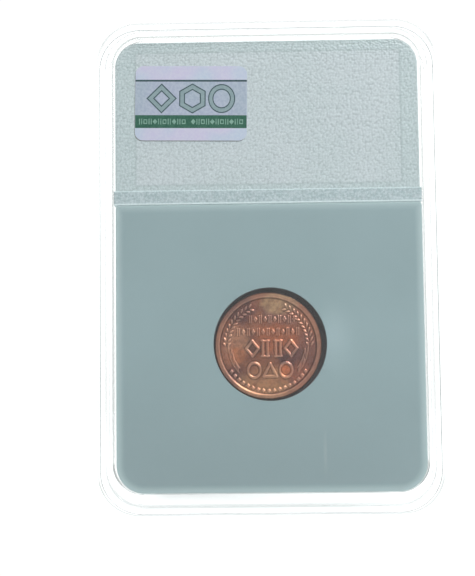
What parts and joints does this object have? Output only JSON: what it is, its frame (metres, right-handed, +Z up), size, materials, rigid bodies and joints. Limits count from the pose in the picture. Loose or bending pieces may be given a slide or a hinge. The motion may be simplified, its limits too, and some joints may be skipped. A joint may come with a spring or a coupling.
{
  "type": "graded coin slab",
  "caption": "Sealed clear plastic slab holding a small copper coin in a blue-grey insert, under a textured label panel with a printed card and a tamper seal on the back.",
  "frame": {"origin": "middle of the bottom edge: centre of the width and of the thickness, on the surface it stands on", "axes": "+Z up along the slab's height with the label end on top, X across the width, -Y out of the back window with the tamper seal, +Y out of the front window with the printed card"},
  "size_m": [0.0608, 0.0076, 0.088],
  "materials": {
    "clear_polystyrene": "polished clear",
    "insert_blue_grey": "satin",
    "toned_copper": "struck, toned",
    "textured_translucent": "fine pebble texture",
    "printed_card": "coated, printed",
    "seal_film": "printed film with a pearly sheen"
  },
  "bodies": {
    "root": {"back_shell": "clear_polystyrene", "front_shell": "clear_polystyrene", "coin_insert": "insert_blue_grey", "coin": "toned_copper", "label_holder": "textured_translucent", "label_card": "printed_card", "security_seal": "seal_film"}
  },
  "joints": []
}
